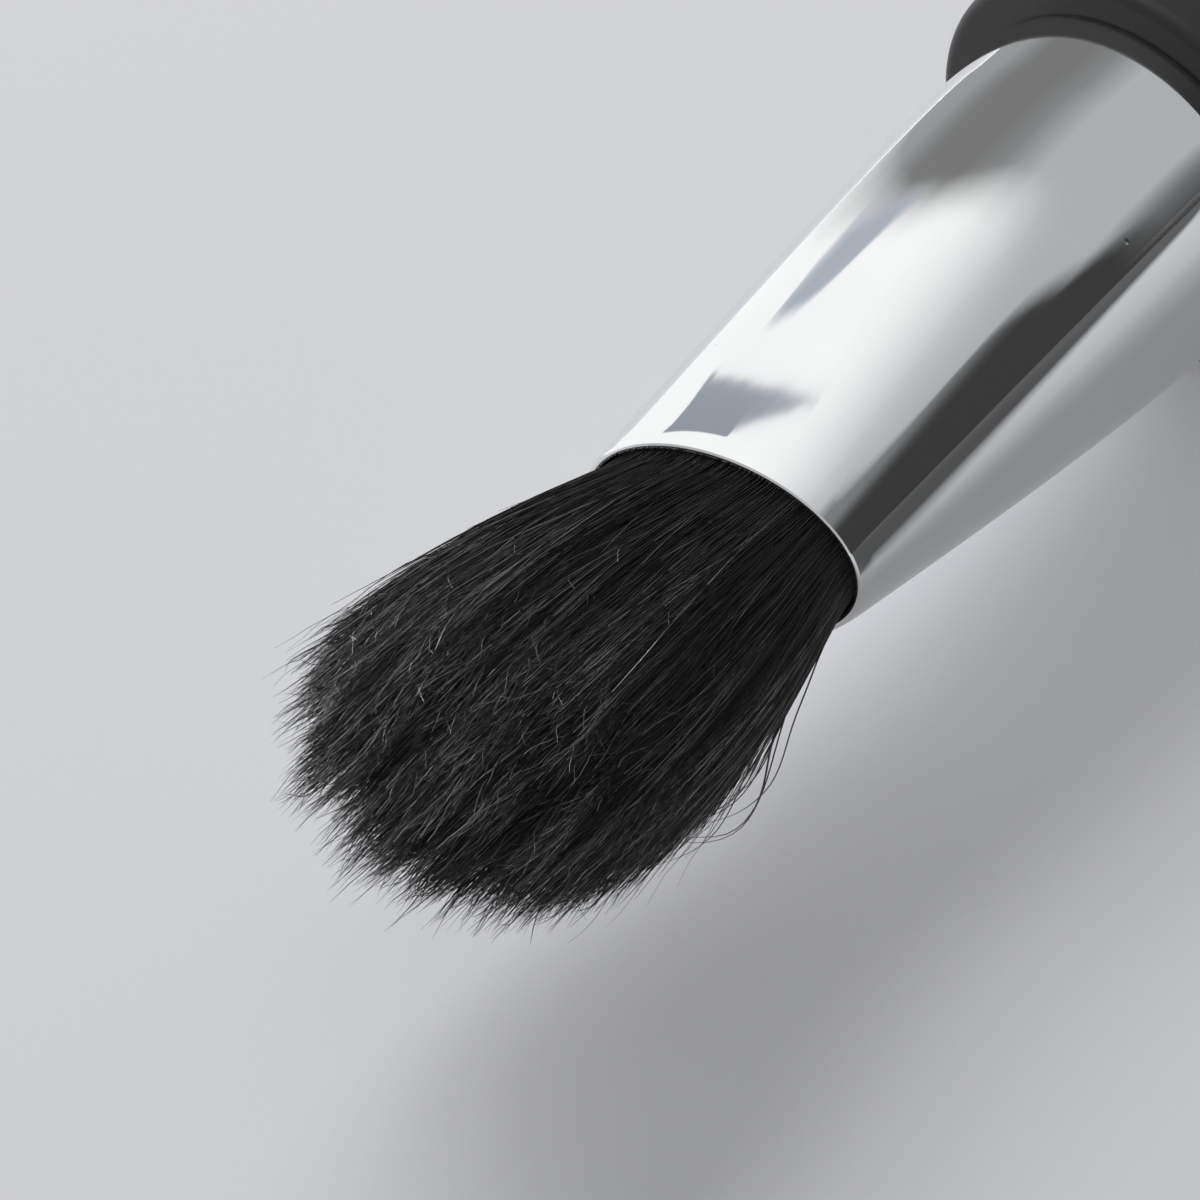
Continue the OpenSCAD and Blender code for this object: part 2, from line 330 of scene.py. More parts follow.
# %% [markdown]
# ## The handle
# A handle like this is turned on a lathe, so half of its outline says all of its shape:
# a rounded tail, a long swell, a straight band where a holder grips it, a rounded
# shoulder, and a peg that goes into the ferrule. Here the outline is drawn once as edges,
# and a Screw modifier turns it round the axis, as the lathe does.

# %% The handle's outline
TAIL_R, TAIL_ROUND = 2.2, 2.6
BELLY_R, SHOULDER_ROUND = 5.65, 0.35
HANDLE_LEN, BAND_START, SWELL = 142.0, 133.1, 1.8
FERRULE_LEN, PEG_LEN = 16.2, 6.0
PEG_BACK_R, PEG_FRONT_R = 4.0, 3.9
ARC_STEPS, SWELL_STEPS, LATHE_STEPS = 14, 120, 160
MERGE_GAP, SHARP_DEGREES = 0.0005, 35


def handle_outline():
    """Pairs of place along the handle from its tail, and radius."""
    steps = [math.radians(90 * i / ARC_STEPS) for i in range(ARC_STEPS + 1)]
    tail = [(TAIL_ROUND * (1 - math.cos(a)), TAIL_R * math.sin(a)) for a in steps]
    shares = [i / SWELL_STEPS for i in range(1, SWELL_STEPS + 1)]
    swell = [
        (TAIL_ROUND + (BAND_START - TAIL_ROUND) * u,
         TAIL_R + (BELLY_R - TAIL_R) * (1 - math.cos(math.pi * u ** SWELL)) / 2)
        for u in shares
    ]
    shoulder = [
        (HANDLE_LEN - SHOULDER_ROUND * (1 - math.sin(a)),
         BELLY_R - SHOULDER_ROUND * (1 - math.cos(a)))
        for a in steps
    ]
    peg_end = HANDLE_LEN + PEG_LEN
    peg = [(HANDLE_LEN, PEG_BACK_R), (peg_end, PEG_FRONT_R), (peg_end, 0)]
    return tail + swell + shoulder + peg


# %% Helpers for a finished piece
def piece_from(name, mesh):
    made = bpy.data.objects.new(name, mesh)
    bpy.context.collection.objects.link(made)
    return made


def settled(made):
    """Turns what the modifiers make into a plain mesh, and takes the modifiers off."""
    seen = made.evaluated_get(bpy.context.evaluated_depsgraph_get())
    mesh = bpy.data.meshes.new_from_object(seen)
    made.modifiers.clear()
    made.data = mesh
    return made


def laid(made):
    """Lays a shape made in the brush's own millimetres where the brush is."""
    made.data.transform(LAY)
    made.data.update()
    return made


def outwards(mesh, gap):
    """Merges doubles and turns every face outwards."""
    work = bmesh.new()
    work.from_mesh(mesh)
    bmesh.ops.remove_doubles(work, verts=work.verts, dist=gap)
    bmesh.ops.recalc_face_normals(work, faces=work.faces)
    work.to_mesh(mesh)
    work.free()


def count_of(made):
    made.data.calc_loop_triangles()
    return len(made.data.loop_triangles)


# %% Turn the handle
outline = handle_outline()
outline_mesh = bpy.data.meshes.new("handle_outline")
to_mouth = HANDLE_LEN + FERRULE_LEN
outline_mesh.from_pydata(
    [(place - to_mouth, 0, radius) for place, radius in outline],
    [(i, i + 1) for i in range(len(outline) - 1)],
    [],
)
handle = piece_from("turned_handle", outline_mesh)
lathe = handle.modifiers.new("lathe", "SCREW")
lathe.axis = "X"
lathe.steps = lathe.render_steps = LATHE_STEPS
lathe.use_merge_vertices = True
lathe.merge_threshold = MERGE_GAP
settled(handle)
outwards(handle.data, MERGE_GAP)
handle.data.polygons.foreach_set("use_smooth", [True] * len(handle.data.polygons))
handle.data.set_sharp_from_angle(angle=math.radians(SHARP_DEGREES))
handle.data.materials.clear()
handle.data.materials.append(lacquer)
laid(handle)
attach(handle, "root")
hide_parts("handle")
print("turned_handle triangles", count_of(handle))

# %% [markdown]
# ## The ferrule
# The ferrule starts as a round tube. Its back stays round to take the handle, and a press
# flattens its mouth to an oval, so that the hair spreads in a fan. The lip is drawn in
# and rounded, to hold the hair without cutting it. Each section is an oval whose two half
# sizes depend only on its depth below the mouth. That is a rule, so Geometry Nodes make
# it: the piece's own mesh is the wall's profile, as depth and inset, and the tree sweeps
# it round the axis with the oval of each depth.

# %% The ferrule's wall in profile
WALL, LIP_DRAW, LIP_LEN, LIP_BACK = 0.2, 0.07, 0.7, 0.12
BACK_R, MOUTH_THIN, MOUTH_BROAD = 4.58, 2.67, 4.28
TAPER_LEN, TAPER_POWER = 13.8, 1.35
LONG_STEPS, LIP_STEPS, TURN_STEPS, SIDES = 90, 16, 14, 320
FERRULE_GAP = 0.0002


def drawn_in(depth):
    return LIP_DRAW * max(1 - depth / LIP_LEN, 0) ** 2


def ferrule_wall():
    """Pairs of depth and inset: up the outside, over the lip and down the inside."""
    lip_r = WALL / 2
    lip_start = LIP_BACK + lip_r
    tube = [FERRULE_LEN + (LIP_LEN - FERRULE_LEN) * i / LONG_STEPS for i in range(LONG_STEPS + 1)]
    lip = [LIP_LEN + (lip_start - LIP_LEN) * i / LIP_STEPS for i in range(1, LIP_STEPS + 1)]
    depths = tube + lip
    turns = [math.radians(180 * i / TURN_STEPS) for i in range(1, TURN_STEPS)]
    outside = [(t, drawn_in(t)) for t in depths]
    over = [
        (lip_start - lip_r * math.sin(a), drawn_in(lip_start) + lip_r * (1 - math.cos(a)))
        for a in turns
    ]
    inside = [(t, drawn_in(t) + WALL) for t in reversed(depths)]
    return outside + over + inside + outside[:1]


# %% A tree that sweeps a wall round an oval
# Added before a share is rounded down, so that no whole number is just missed
ROUNDING = 0.0001


def add_inputs(tree, inputs):
    """Named inputs, each with its kind of socket."""
    for name, kind in inputs:
        tree.interface.new_socket(name, in_out="INPUT", socket_type="NodeSocket" + kind)


def end_tree(bench, shape, name, finish):
    """Ends a tree as every piece needs it: smooth, with real faces, in its finish."""
    smooth = bench.node("GeometryNodeSetShadeSmooth", {}, {"Geometry": shape})
    real = bench.node("GeometryNodeRealizeInstances", {}, {"Geometry": smooth})
    finished = bench.node("GeometryNodeSetMaterial", {}, {"Geometry": real, "Material": finish})
    bench.node("NodeGroupOutput", {}, {name: finished})


def pressed_tube_tree():
    tree = bpy.data.node_groups.new("pressed_tube", "GeometryNodeTree")
    add_inputs(tree, [
        ("Wall profile", "Geometry"), ("Sides", "Int"), ("Rows", "Int"),
        ("Mouth half thickness", "Float"), ("Mouth half width", "Float"),
        ("Back radius", "Float"), ("Taper length", "Float"), ("Taper power", "Float"),
        ("Metal", "Material"),
    ])
    tree.interface.new_socket("Tube", in_out="OUTPUT", socket_type="NodeSocketGeometry")
    bench = Bench(tree)
    given = bench.node("NodeGroupInput")
    across = given["Sides"] + 1
    sheet = bench.node("GeometryNodeMeshGrid", {}, {
        "Size X": 1.0, "Size Y": 1.0, "Vertices X": across, "Vertices Y": given["Rows"]})
    index = bench.node("GeometryNodeInputIndex")
    column = (index / given["Rows"] + ROUNDING).rounded_down()
    row = index - column * given["Rows"]
    point = bench.node("GeometryNodeSampleIndex", {"data_type": "FLOAT_VECTOR"}, {
        "Geometry": given["Wall profile"],
        "Value": bench.node("GeometryNodeInputPosition"), "Index": row}, "Value")
    part = bench.parts(point)
    depth, inset = part["X"], part["Y"]
    left = (1 - depth / given["Taper length"]).least(0)
    round_share = 1 - left ** given["Taper power"]
    thin = given["Mouth half thickness"]
    broad = given["Mouth half width"]
    half_thin = thin + (given["Back radius"] - thin) * round_share - inset
    half_broad = broad + (given["Back radius"] - broad) * round_share - inset
    angle = column / given["Sides"] * math.tau
    place = bench.vector(0 - depth, half_broad * angle.cosine(), half_thin * angle.sine())
    tube = bench.node("GeometryNodeSetPosition", {}, {"Geometry": sheet["Mesh"], "Position": place})
    closed = bench.node("GeometryNodeMergeByDistance", {}, {"Geometry": tube, "Distance": MERGE_GAP})
    end_tree(bench, closed, "Tube", given["Metal"])
    return tree


def grow(made, tree, values):
    """Runs a tree on a piece with these values of its named inputs."""
    work = made.modifiers.new(tree.name, "NODES")
    work.node_group = tree
    for item in tree.interface.items_tree:
        if item.item_type == "SOCKET" and item.in_out == "INPUT" and item.name in values:
            work[item.identifier] = values[item.name]
    return settled(made)


# %% Press the ferrule
wall = ferrule_wall()
wall_mesh = bpy.data.meshes.new("wall_profile")
wall_mesh.from_pydata([(depth, inset, 0) for depth, inset in wall], [], [])
ferrule = piece_from("pressed_ferrule", wall_mesh)
grow(ferrule, pressed_tube_tree(), {
    "Sides": SIDES, "Rows": len(wall),
    "Mouth half thickness": MOUTH_THIN, "Mouth half width": MOUTH_BROAD,
    "Back radius": BACK_R, "Taper length": TAPER_LEN, "Taper power": TAPER_POWER,
    "Metal": aluminium,
})
outwards(ferrule.data, FERRULE_GAP)
laid(ferrule)
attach(ferrule, "root")
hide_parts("ferrule")
print("pressed_ferrule triangles", count_of(ferrule))

# %% [markdown]
# ## The tuft
# A soft brush holds thousands of hairs of about 0.04 mm. They leave the lip side by side,
# fan out, and end in a dome, because the maker sets the middle hairs further forward. They
# aren't cut, so each ends in a fine point, and towards the tip neighbours cling together
# in wisps, and wisps in locks, while every hair kinks in its own way. One tree grows all of
# it. A hair is a straight line that stands at a random place of the unit disc. Its x and y
# say which hair it is, and its height runs from 0 to 1, so one formula can bend every hair
# at once. A hair's wisp and lock are found from where its root stands, so that it never
# jumps from one to the next on its way up.

# %% A tree that grows hair
HAIR_INPUTS = [
    ("Hairs", "Int"), ("Points", "Int"), ("Seed", "Int"), ("Inner edge", "Float"),
    ("Side low", "Float"), ("Side high", "Float"),
    ("Root half thickness", "Float"), ("Root half width", "Float"),
    ("Tuft half thickness", "Float"), ("Tuft half width", "Float"),
    ("Flare length", "Float"), ("Hair length", "Float"), ("Dome share", "Float"),
    ("Start low", "Float"), ("Start high", "Float"),
    ("Share low", "Float"), ("Share high", "Float"),
    ("Lift low", "Float"), ("Lift high", "Float"), ("Bow", "Float"), ("Spin", "Float"),
    ("Lock pull", "Float"), ("Wisp pull", "Float"),
    ("Wave", "Float"), ("Kink", "Float"), ("Kink turns", "Float"),
    ("Hair radius", "Float"), ("Tone low", "Float"), ("Lean", "Vector"), ("Finish", "Material"),
]
# Each thing that is left to chance adds a number of its own to the seed
SALTS = {
    "ring": 1, "start": 2, "share": 3, "lift": 4, "spin": 5,
    "kink": 6, "tone": 7, "size": 8, "bow": 9,
}
# How many wisps, locks and waves there are to one unit of the disc, and waves up a hair
WISPS, LOCKS = 14.0, 5.5
WAVES_ACROSS, WAVES_UP = 3.2, 1.3
# Each hair kinks as its own row of one noise does, of this many rows
KINK_ROWS = 500.0
# How much of a hair's tone is its own, and how much it shares with its wisp
OWN_SHARE, WISP_SHARE = 0.6, 0.4
# Shares of the usual thickness, and how much of its own a hair loses up to its tip
THINNEST, THICKEST, TIP_LOSS = 0.75, 1.25, 0.8
# How far a hair keeps from the edges of its patch on the bake's square
SIDE_MARGIN, END_MARGIN = 0.1, 0.05
# Added before a number is rounded down, so that any fraction counts as one more
NEARLY_ONE = 0.999


def hair_lines(bench, given):
    """Straight lines of one unit on random places of the unit disc."""
    index = bench.node("GeometryNodeInputIndex")
    angle = bench.node("FunctionNodeRandomValue", {}, {
        "Min": given["Side low"], "Max": given["Side high"],
        "ID": index, "Seed": given["Seed"]})
    edge = given["Inner edge"]
    ring = bench.node("FunctionNodeRandomValue", {}, {
        "Min": edge * edge, "Max": 1.0,
        "ID": index, "Seed": given["Seed"] + SALTS["ring"]}) ** 0.5
    place = bench.vector(ring * angle.cosine(), ring * angle.sine(), 0.0)
    roots = bench.node("GeometryNodePoints", {}, {"Count": given["Hairs"], "Position": place})
    line = bench.node("GeometryNodeCurvePrimitiveLine", {}, {"End": (0, 0, 1)})
    fine = bench.node("GeometryNodeResampleCurve", {}, {"Curve": line, "Count": given["Points"]})
    many = bench.node("GeometryNodeInstanceOnPoints", {}, {"Points": roots, "Instance": fine})
    return bench.node("GeometryNodeRealizeInstances", {}, {"Geometry": many})


def named_value(bench, geometry, name, value, kind="FLOAT", domain="POINT"):
    return bench.node("GeometryNodeStoreNamedAttribute", {"data_type": kind, "domain": domain}, {
        "Geometry": geometry, "Name": name, "Value": value})


def read_value(bench, name):
    kind = {"data_type": "FLOAT"}
    return bench.node("GeometryNodeInputNamedAttribute", kind, {"Name": name}, "Attribute")


def cells_on_disc(bench, place, scale, out):
    """One output of a flat pattern of cells, in its parts."""
    flat = {"voronoi_dimensions": "2D"}
    sockets = {"Vector": place, "Scale": scale}
    return bench.parts(bench.node("ShaderNodeTexVoronoi", flat, sockets, out))


def three_noises(bench, x, y, z):
    """Three numbers round a half, which change smoothly from place to place."""
    sockets = {"Vector": bench.vector(x, y, z), "Scale": 1.0, "Detail": 1.0}
    return bench.parts(bench.node("ShaderNodeTexNoise", {}, sockets, "Color"))


def clung(bench, given, u, v, up):
    """Draws a hair towards the heart of its wisp, and then towards that of its lock."""
    root = bench.vector(u, v, 0.0)
    wisp_pull = given["Wisp pull"] * up ** 1.5
    lock_pull = given["Lock pull"] * up ** 3
    for scale, pull in ((WISPS, wisp_pull), (LOCKS, lock_pull)):
        heart = cells_on_disc(bench, root, scale, "Position")
        u, v = u + (heart["X"] - u) * pull, v + (heart["Y"] - v) * pull
    return u, v


def turned_out(given, chance, u, v, s):
    """Turns a hair round the tuft, and moves it out where it lifts or bows."""
    bow = chance(0.0, given["Bow"], "bow") * (s ** 3 * math.pi).sine()
    spread = 1 + chance(given["Lift low"], given["Lift high"], "lift") * s ** 2 + bow
    turn = chance(0 - given["Spin"], given["Spin"], "spin") * s ** 1.5
    return (
        (u * turn.cosine() - v * turn.sine()) * spread,
        (u * turn.sine() + v * turn.cosine()) * spread,
    )


def bent_places(bench, given, chance):
    """Where each point of each hair goes, from its place on the disc and its height."""
    place = bench.parts(bench.node("GeometryNodeInputPosition"))
    u, v, s = place["X"], place["Y"], place["Z"]
    length = given["Hair length"]
    dome = length * (1 - given["Dome share"] * (u * u + v * v))
    start = chance(given["Start low"], given["Start high"], "start")
    share = chance(given["Share low"], given["Share high"], "share")
    height = (start + s * share) * dome
    above = height.least(0)
    up = above / length
    u, v = clung(bench, given, u, v, up)
    u, v = turned_out(given, chance, u, v, s)
    wave = three_noises(bench, u * WAVES_ACROSS, v * WAVES_ACROSS, up * WAVES_UP)
    row = chance(0.0, KINK_ROWS, "kink")
    kink = three_noises(bench, row, above * given["Kink turns"], 0.0)
    swing, crimp = given["Wave"] * up ** 1.5, given["Kink"] * up
    flare = 1 - (1 - (above / given["Flare length"]).most(1)) ** 2
    thin = given["Root half thickness"]
    broad = given["Root half width"]
    thick_way = (thin + (given["Tuft half thickness"] - thin) * flare) * u
    broad_way = (broad + (given["Tuft half width"] - broad) * flare) * v
    lean = bench.parts(given["Lean"])
    bend = up ** 2
    return bench.vector(
        height + lean["X"] * bend + (kink["X"] - 0.5) * crimp * 0.5,
        broad_way + lean["Y"] * bend + (wave["Y"] - 0.5) * swing + (kink["Y"] - 0.5) * crimp,
        thick_way + lean["Z"] * bend + (wave["Z"] - 0.5) * swing + (kink["Z"] - 0.5) * crimp,
    )


def bake_patch(bench, given, along):
    """Gives each hair a patch of the bake's square, in rows and columns."""
    cells = (given["Hairs"] ** 0.5 + NEARLY_ONE).rounded_down()
    number = read_value(bench, "hair_number")
    row = ((number + 0.5) / cells).rounded_down()
    column = number - row * cells
    across = column + SIDE_MARGIN + read_value(bench, "hair_side") * (1 - 2 * SIDE_MARGIN)
    up = row + END_MARGIN + along * (1 - 2 * END_MARGIN)
    return bench.vector(across / cells, up / cells, 0.0)


def hair_tree():
    tree = bpy.data.node_groups.new("soft_hair", "GeometryNodeTree")
    add_inputs(tree, HAIR_INPUTS)
    tree.interface.new_socket("Hair", in_out="OUTPUT", socket_type="NodeSocketGeometry")
    bench = Bench(tree)
    given = bench.node("NodeGroupInput")
    curve = bench.node("GeometryNodeCurveOfPoint", {}, {}, "Curve Index")

    def chance(low, high, salt):
        return bench.node("FunctionNodeRandomValue", {}, {
            "Min": low, "Max": high, "ID": curve, "Seed": given["Seed"] + SALTS[salt]})

    lines = hair_lines(bench, given)
    place = bench.node("GeometryNodeInputPosition")
    lines = named_value(bench, lines, "hair_along", bench.parts(place)["Z"])
    wisp = cells_on_disc(bench, place, WISPS, "Color")
    tone = chance(given["Tone low"], 1.0, "tone") * OWN_SHARE + wisp["X"] * WISP_SHARE
    lines = named_value(bench, lines, "hair_tone", tone)
    lines = named_value(bench, lines, "hair_size", chance(THINNEST, THICKEST, "size"))
    lines = named_value(bench, lines, "hair_number", curve)
    bent = bench.node("GeometryNodeSetPosition", {}, {
        "Geometry": lines, "Position": bent_places(bench, given, chance)})
    # The three corners of a hair's section lie at 0, 1 and a half across its patch
    index = bench.node("GeometryNodeInputIndex")
    section = {"Resolution": 3, "Radius": 1.0}
    ring = bench.node("GeometryNodeCurvePrimitiveCircle", {}, section, "Curve")
    ring = named_value(bench, ring, "hair_side", index - (index > 1.5) * 1.5)
    along = read_value(bench, "hair_along")
    size = given["Hair radius"] * read_value(bench, "hair_size") * (1 - along ** 3 * TIP_LOSS)
    strands = bench.node("GeometryNodeCurveToMesh", {}, {
        "Curve": bent, "Profile Curve": ring, "Scale": size, "Fill Caps": True})
    patch = bake_patch(bench, given, along)
    strands = named_value(bench, strands, "OFBake", patch, "FLOAT2", "CORNER")
    for name in ("hair_side", "hair_number", "hair_size"):
        strands = bench.node("GeometryNodeRemoveAttribute", {}, {"Geometry": strands, "Name": name})
    end_tree(bench, strands, "Hair", given["Finish"])
    return tree


# %% [markdown]
# ## Kinds of hair
# The tuft has a body of whole hairs, a surface of shorter ones whose points show on the
# outside, and fine tips that fill the dome. Pale thin hairs lie just under its skin, short
# bits curl away from its side and its dome, a few long hairs bow out on one side as loops,
# and a few strays stand off. They are the same tree with other numbers. The body is grown
# in several pieces, because one mesh with all of it would be too heavy.

# %% Grow the tuft
ALL_HAIR = {
    "Points": 13, "Inner edge": 0.0, "Side low": 0.0, "Side high": math.tau,
    "Root half thickness": 2.38, "Root half width": 3.99,
    "Tuft half thickness": 3.85, "Tuft half width": 5.4,
    "Flare length": 9.5, "Hair length": 12.2, "Dome share": 0.27,
    "Start low": -0.11, "Start high": -0.11, "Share low": 0.9, "Share high": 1.12,
    "Lift low": -0.03, "Lift high": 0.03, "Bow": 0.0, "Spin": 0.08,
    "Lock pull": 0.6, "Wisp pull": 0.7,
    "Wave": 1.3, "Kink": 0.3, "Kink turns": 0.33,
    "Hair radius": 0.02, "Tone low": 0.0, "Lean": (0.0, 0.15, 0.0), "Finish": hair_finish,
}
SURFACE = {
    "Hairs": 2000, "Points": 16, "Inner edge": 0.75,
    "Spin": 0.17, "Lift low": 0.0, "Lift high": 0.08}
HAIR_PIECES = {
    "hair_body_1": {"Hairs": 2600, "Seed": 10},
    "hair_body_2": {"Hairs": 2600, "Seed": 40},
    "hair_body_3": {"Hairs": 2600, "Seed": 70},
    "hair_body_4": {"Hairs": 2600, "Seed": 220},
    "hair_surface_1": {**SURFACE, "Seed": 100, "Share low": 0.6},
    "hair_surface_2": {**SURFACE, "Seed": 130, "Share low": 0.45},
    # The tips, pale hairs and bits below have a higher Tone low: their pale colour is partly real pale
    # hair and partly painted glints of light
    "hair_tips": {
        "Hairs": 4000, "Seed": 250, "Points": 8,
        "Start low": 0.66, "Start high": 0.88, "Share low": 0.14, "Share high": 0.27,
        "Spin": 0.12, "Lift low": -0.05, "Lift high": 0.05, "Kink": 0.35, "Kink turns": 0.5,
        "Hair radius": 0.014, "Tone low": 0.4},
    "hair_pale": {
        "Hairs": 1400, "Seed": 280, "Points": 14, "Inner edge": 0.84,
        "Share low": 0.6, "Share high": 1.1, "Spin": 0.22, "Lift low": 0.0, "Lift high": 0.05,
        "Kink": 0.35, "Kink turns": 0.5, "Wisp pull": 0.3,
        "Hair radius": 0.013, "Tone low": 0.8},
    "hair_bits": {
        "Hairs": 700, "Seed": 160, "Points": 10, "Inner edge": 0.92,
        "Start low": 0.45, "Start high": 0.9, "Share low": 0.04, "Share high": 0.11,
        "Spin": 0.13, "Lift low": 0.0, "Lift high": 0.05, "Kink": 0.9, "Kink turns": 0.9,
        "Hair radius": 0.0125, "Tone low": 0.5},
    "dome_bits": {
        "Hairs": 2000, "Seed": 340, "Points": 10,
        "Start low": 0.8, "Start high": 0.98, "Share low": 0.04, "Share high": 0.12,
        "Spin": 0.13, "Lift low": -0.06, "Lift high": 0.06, "Kink": 0.8, "Kink turns": 0.9,
        "Hair radius": 0.0125, "Tone low": 0.75},
    "hair_loops": {
        "Hairs": 16, "Seed": 310, "Points": 30, "Inner edge": 0.93,
        "Side low": 1.9, "Side high": 2.5, "Share low": 0.85, "Share high": 1.02,
        "Spin": 0.1, "Lift low": 0.0, "Lift high": 0.12, "Bow": 0.2,
        "Kink": 1.4, "Kink turns": 0.22, "Lock pull": 0.0, "Wisp pull": 0.0,
        "Hair radius": 0.03, "Tone low": 0.8},
    "hair_strays": {
        "Hairs": 90, "Seed": 190, "Points": 24, "Inner edge": 0.85,
        "Share low": 1.0, "Share high": 1.22, "Spin": 0.2, "Lift low": 0.04, "Lift high": 0.16,
        "Kink": 1.2, "Kink turns": 0.35, "Lock pull": 0.0, "Wisp pull": 0.0,
        "Hair radius": 0.016},
}
tuft_tree = hair_tree()
all_hair = []
for name, own_values in HAIR_PIECES.items():
    hairs = piece_from(name, bpy.data.meshes.new(name))
    grow(hairs, tuft_tree, {**ALL_HAIR, **own_values})
    laid(hairs)
    all_hair.append(hairs)
    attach(hairs, "root")
    if name == "hair_body_1":
        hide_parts("hair_tuft")
    print(name, "triangles", count_of(hairs))

# %% [markdown]
# ## The table
# The brush lies on a pale, matt sheet. It has a faint grain, which is only seen close by.

# %% Lay the sheet
sheet_finish, bench, shader = start_material("pale_matt_sheet", Roughness=0.75, Specular_IOR_Level=0.2)
SHEET_DIM, SHEET_BRIGHT = (0.77, 0.777, 0.81, 1), (0.795, 0.80, 0.832, 1)
tooth = speckle(bench, stretched(bench, 1, 1, 1), scale=5000, detail=2)
bench.join(shader, "Base Color", bench.mixed(tooth, SHEET_DIM, SHEET_BRIGHT))
HALF_SHEET = 3.0
corners = [(-1, -1), (1, -1), (1, 1), (-1, 1)]
places = [(x * HALF_SHEET, y * HALF_SHEET, 0) for x, y in corners]
sheet_mesh = bpy.data.meshes.new("pale_sheet")
sheet_mesh.from_pydata(places, [], [(0, 1, 2, 3)])
sheet_mesh.materials.append(sheet_finish)
sheet = piece_from("pale_sheet", sheet_mesh)

# %% [markdown]
# ## Light for the brush and for its shadow
# A wide soft light stands rather low behind the brush, so its shadow falls towards the
# camera and is soft. A wider one overhead fills in and casts no shadow, and one from the
# side is kept to the hair, where it picks out single hairs. A pale surround does the rest.
# The metal doesn't see the two soft lights: what a polished tube shows is its surroundings,
# and those are cards, as in a photographer's tent, which come next.

# %% Lamps and surround
def direction(azimuth, elevation):
    a, e = math.radians(azimuth), math.radians(elevation)
    return Vector((math.cos(e) * math.cos(a), math.cos(e) * math.sin(a), math.sin(e)))


def soft_lamp(name, azimuth, elevation, size, power):
    """A round soft lamp, one metre from the mouth of the ferrule and turned to it."""
    lamp = bpy.data.lights.new(name, "AREA")
    lamp.shape = "DISK"
    lamp.size = size
    lamp.energy = power
    shown = bpy.data.objects.new(name, lamp)
    bpy.context.collection.objects.link(shown)
    towards = direction(azimuth, elevation)
    shown.location = mouth + towards
    shown.rotation_euler = towards.to_track_quat("Z", "Y").to_euler()
    shown.visible_glossy = False
    shown.visible_camera = False
    return shown


def lit_only(lamp, pieces):
    """Keeps a lamp to these pieces, as a flag on a stand does in a studio."""
    group = bpy.data.collections.new(lamp.name + "_lights")
    for piece in pieces:
        group.objects.link(piece)
    lamp.light_linking.receiver_collection = group


soft_lamp("back_softbox", azimuth=225, elevation=30, size=0.95, power=9.75)
even_fill = soft_lamp("even_fill", azimuth=60, elevation=80, size=1.6, power=5.6)
even_fill.data.use_shadow = False
side_light = soft_lamp("side_light", azimuth=-72, elevation=40, size=0.3, power=30.0)
side_light.visible_glossy = True
lit_only(side_light, all_hair)

SURROUND_COLOUR, MATT_LOSS = (0.46, 0.467, 0.48, 1), 0.9
surround = bpy.data.worlds.new("pale_surround")
surround.use_nodes = True
bench = Bench(surround.node_tree)
backdrop = surround.node_tree.nodes["Background"]
matt = bench.node("ShaderNodeLightPath", {}, {}, "Is Diffuse Ray")
bench.join(backdrop, "Color", SURROUND_COLOUR)
bench.join(backdrop, "Strength", 1 - matt * MATT_LOSS)
bpy.context.scene.world = surround
bpy.context.scene.view_settings.view_transform = "Standard"

# %% [markdown]
# ## Cards that the metal sees
# Each card is a curved strip round the brush, given by an angle round the axis, where 0 is
# the broad side towards the camera and 90 is up, and by how far forward it lies. Only
# glossy rays see the cards, and their edges fade out, as the edge of a real softbox does.
# The white card gives the tube its long highlight, the grey ones its soft shapes, and the
# dark ones the band along its side.

# %% Hang the cards
FADE_STEPS, CARD_STEP = 12, 1.5


def card_finish(name, strength, tint):
    made = bpy.data.materials.new(name)
    made.use_nodes = True
    tree = made.node_tree
    bench = Bench(tree)
    tree.nodes.remove(tree.nodes["Principled BSDF"])
    fade = bench.node("ShaderNodeAttribute", {"attribute_name": "fade"}, out="Fac")
    glow = bench.node("ShaderNodeEmission", {}, {"Color": (*tint, 1), "Strength": strength})
    clear = bench.node("ShaderNodeBsdfTransparent")
    mixed = bench.node("ShaderNodeMixShader", {}, {0: fade, 1: clear, 2: glow})
    tree.links.new(mixed.socket, tree.nodes["Material Output"].inputs["Surface"])
    made.cycles.emission_sampling = "NONE"
    return made


def faded_shares(soft):
    """Places across a card, of which the first and the last are clear and the rest full."""
    back, front = soft
    inside = [back + (1 - back - front) * i / FADE_STEPS for i in range(FADE_STEPS + 1)]
    return [0] + inside + [1]


def filled_in(rows, step):
    """Rows of numbers with more put evenly between them, so that a card's edge is smooth."""
    more = []
    for one, two in zip(rows, rows[1:]):
        count = max(round(abs(two[0] - one[0]) / step), 1)
        for i in range(count):
            more.append([a + (b - a) * i / count for a, b in zip(one, two)])
    return more + [rows[-1]]


def hang_card(name, distance, stations, strength, soft, tint=(1, 1, 1), seen_at=8):
    """stations: angle round the brush, how far forward the card's back and front edges
    lie, from -1 straight behind to 1 straight ahead, and how much of the card is left
    there. soft: the share of its depth over which its back and its front edge fade.
    distance and seen_at, in millimetres: how far off the card is, and how far behind the
    mouth the metal is that shows it."""
    shares = faded_shares(soft)
    spots, fades = [], []
    for angle, back, front, left in filled_in(stations, CARD_STEP):
        a = math.radians(angle)
        for share in shares:
            x = back + (front - back) * share
            ring = math.sqrt(1 - x * x)
            towards = Vector((x, ring * math.cos(a), ring * math.sin(a)))
            spots.append(LAY @ (towards * distance - Vector((seen_at, 0, 0))))
            fades.append(left if 0 < share < 1 else 0)
    return show_card(name, spots, fades, len(shares), strength, tint)


